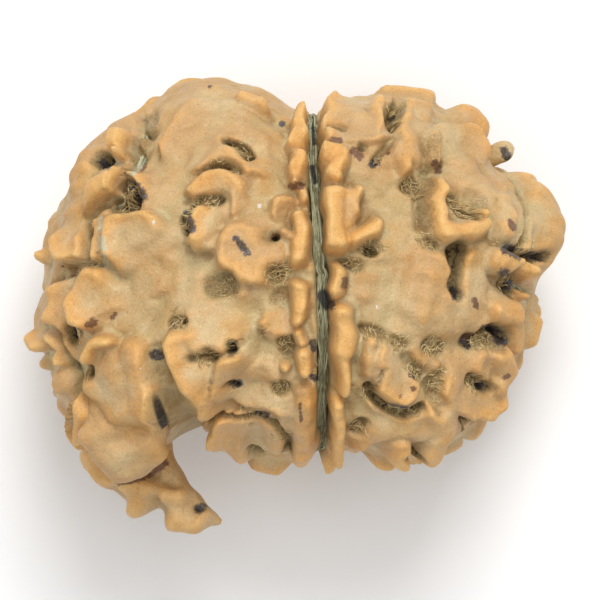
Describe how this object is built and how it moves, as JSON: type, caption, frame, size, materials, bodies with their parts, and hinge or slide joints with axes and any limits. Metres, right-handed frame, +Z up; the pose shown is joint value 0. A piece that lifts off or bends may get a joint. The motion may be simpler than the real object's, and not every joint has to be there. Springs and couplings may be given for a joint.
{
  "type": "rudraksha seed",
  "caption": "Natural rudraksha seed: a stony oval body with knobbed faces between deep furrows, and a short curved trunk at its lower left.",
  "frame": {"origin": "on the surface that the seed lies on, under the middle of its bounding box", "axes": "+X along the seed's longest extent, +Y along its stem axis towards the stem end, +Z up, out of the face that the picture shows"},
  "size_m": [0.0264, 0.0228, 0.021],
  "materials": {
    "seed_stone": "satin"
  },
  "bodies": {
    "root": {"rudraksha_seed": "seed_stone"}
  },
  "joints": []
}
